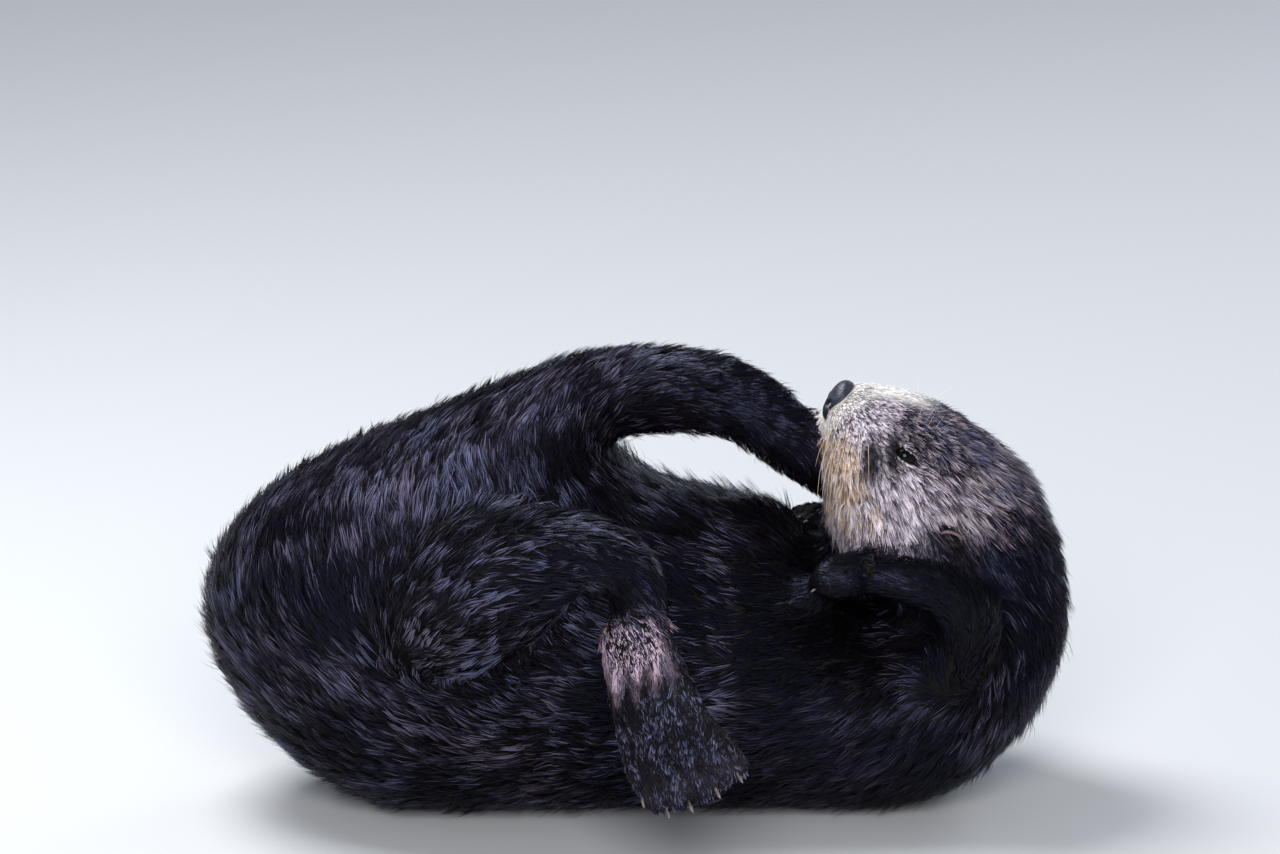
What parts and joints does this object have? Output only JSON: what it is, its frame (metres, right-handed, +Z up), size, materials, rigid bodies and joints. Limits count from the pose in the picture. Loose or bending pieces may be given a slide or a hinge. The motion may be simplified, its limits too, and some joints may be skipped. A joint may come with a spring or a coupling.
{
  "type": "sea otter",
  "caption": "Still life-size model of a sea otter lying on its back, body curled, tail drawn up over the belly to its chin, webbed hind feet held out at its sides.",
  "frame": {"origin": "on the floor, in the middle of the flat under the back, on the animal's own middle plane", "axes": "+X towards the head, +Z up through the belly, the animal's left side towards -Y"},
  "size_m": [0.7005, 0.5754, 0.3813],
  "materials": {
    "body_fur": "damp brown-black fur with silver guard hairs",
    "head_fur": "grizzled silver and tan fur",
    "limb_fur": "short dark brown fur",
    "sole_skin": "thinly haired dark webbed skin",
    "nose_skin": "damp blue-grey nose skin",
    "eye": "wet dark brown"
  },
  "bodies": {
    "root": {"head": "head_fur", "ear_L": "head_fur", "ear_R": "head_fur", "nose": "nose_skin", "eye_L": "eye", "eye_R": "eye", "hindfoot_L": "sole_skin", "hindfoot_R": "sole_skin", "forepaw_L": "sole_skin", "forepaw_R": "sole_skin", "neck": "body_fur", "chest": "body_fur", "abdomen": "body_fur", "loin": "body_fur", "pelvis": "body_fur", "rump": "body_fur", "tail_root": "body_fur", "tail_middle": "body_fur", "tail_tip": "body_fur", "thigh_L": "limb_fur", "thigh_R": "limb_fur", "shank_L": "limb_fur", "shank_R": "limb_fur", "upper_arm_L": "limb_fur", "upper_arm_R": "limb_fur", "forearm_L": "limb_fur", "forearm_R": "limb_fur"}
  },
  "joints": []
}
